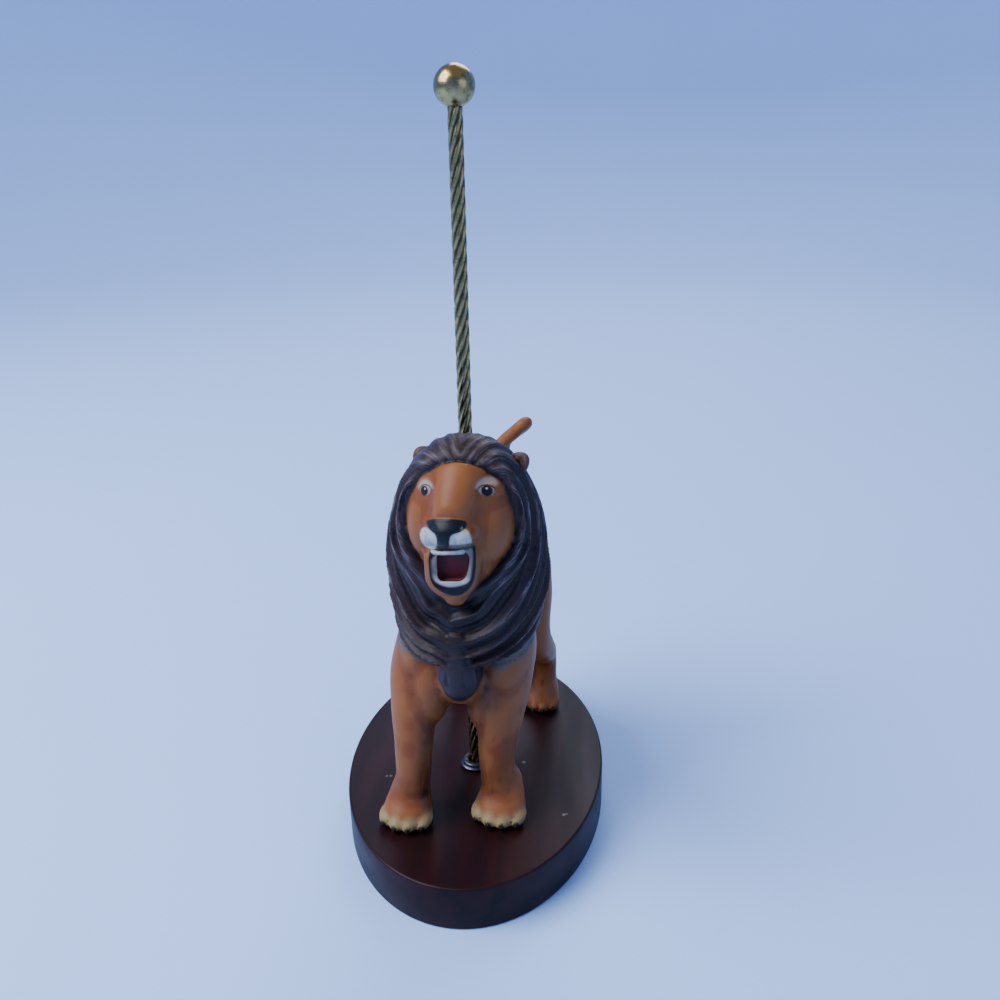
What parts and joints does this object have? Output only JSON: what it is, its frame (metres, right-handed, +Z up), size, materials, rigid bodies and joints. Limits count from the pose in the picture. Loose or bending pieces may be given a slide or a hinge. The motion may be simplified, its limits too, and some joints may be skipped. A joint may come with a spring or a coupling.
{
  "type": "carousel lion figurine",
  "caption": "Cast roaring lion with a long mane and raised tail, standing threaded on a twisted brass pole with a ball on top, on an oval wooden base.",
  "frame": {"origin": "middle of the base's underside", "axes": "+Z up; the base's long way along Y; the lion looks towards -Y, turned 8 degrees to its own right"},
  "size_m": [0.076, 0.112, 0.2075],
  "materials": {
    "stained_wood": "dark mahogany stain under a satin lacquer",
    "painted_resin": "hand-painted resin, tan body and charcoal-brown mane, satin",
    "brass": "antiqued, half polished",
    "steel": "dulled"
  },
  "bodies": {
    "root": {"wooden_base": "stained_wood", "lion": "painted_resin", "twisted_pole": "brass", "ball_finial": "brass", "foot_collar": "steel"}
  },
  "joints": []
}
